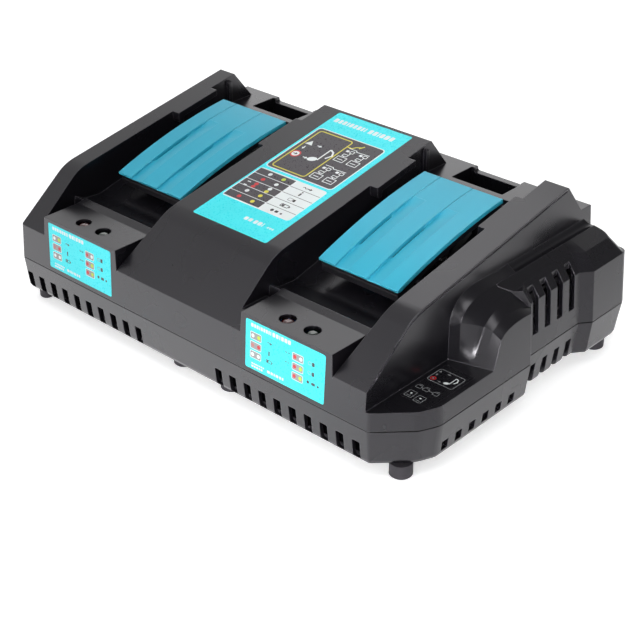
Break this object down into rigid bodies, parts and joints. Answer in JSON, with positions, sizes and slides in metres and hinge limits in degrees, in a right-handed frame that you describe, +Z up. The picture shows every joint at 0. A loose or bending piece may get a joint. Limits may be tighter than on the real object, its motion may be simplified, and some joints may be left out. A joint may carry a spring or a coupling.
{
  "type": "power tool battery charger",
  "caption": "Long low charcoal charger with side-by-side battery bays, turquoise sliding terminal covers, indicator lamps, vent slots and round feet.",
  "frame": {"origin": "table level under the middle of the charger", "axes": "+X along the length to the vent end, +Y from the lamp side to the rear, +Z up"},
  "size_m": [0.31, 0.208, 0.1069],
  "materials": {
    "housing": "fine satin, charcoal",
    "cover": "satin, turquoise",
    "carriage": "satin, black",
    "label": "printed film, cyan",
    "dark_label": "printed film, black",
    "red_lens": "clear tinted",
    "green_lens": "clear tinted",
    "foot_rubber": "matte",
    "gland_rubber": "matte",
    "steel": "zinc plated",
    "contact_metal": "tin plated",
    "board": "solder mask green",
    "ferrite": "sintered",
    "winding": "polyester tape",
    "capacitor_sleeve": "shrink sleeve",
    "aluminium": "extruded",
    "black_resin": "moulded",
    "fuse_glass": "ceramic and metal",
    "relay_case": "moulded"
  },
  "bodies": {
    "fan_wheel": {"fan_rotor": "black_resin"},
    "left_shuttle": {"left_terminal_cover": "cover", "left_cover_carriage": "carriage"},
    "right_shuttle": {"right_terminal_cover": "cover", "right_cover_carriage": "carriage"},
    "charger": {"board_screws": "steel", "bulk_capacitors": "capacitor_sleeve", "centre_label": "label", "cord_gland": "gland_rubber", "fan_frame": "black_resin", "fan_screws": "steel", "feet": "foot_rubber", "fuse": "fuse_glass", "green_lamps": "green_lens", "heat_sink": "aluminium", "housing_screws": "steel", "lamp_boards": "board", "left_cover_springs": "steel", "left_front_label": "label", "left_power_blades": "contact_metal", "left_signal_contacts": "contact_metal", "left_terminal_block": "carriage", "line_choke": "winding", "lower_housing": "housing", "main_board": "board", "power_transistors": "black_resin", "red_lamps": "red_lens", "relays": "relay_case", "right_cover_springs": "steel", "right_front_label": "label", "right_power_blades": "contact_metal", "right_signal_contacts": "contact_metal", "right_terminal_block": "carriage", "side_label": "dark_label", "sounder": "black_resin", "transformer_core": "ferrite", "transformer_winding": "winding", "upper_housing": "housing"}
  },
  "joints": [
    {"name": "left_cover_slide", "type": "slide", "parent": "charger", "child": "left_shuttle", "axis": [0, -0.848, -0.5299], "range_m": [0, 0.012], "stiffness_N_per_m": 160, "springref_m": -0.01, "deforming": ["left_cover_springs"]},
    {"name": "right_cover_slide", "type": "slide", "parent": "charger", "child": "right_shuttle", "axis": [0, -0.848, -0.5299], "range_m": [0, 0.012], "stiffness_N_per_m": 160, "springref_m": -0.01, "deforming": ["right_cover_springs"]},
    {"name": "fan_spin", "type": "hinge", "parent": "charger", "child": "fan_wheel", "pos_m": [0.13, 0.04, 0.0375], "axis": [1, 0, 0], "continuous": true}
  ]
}
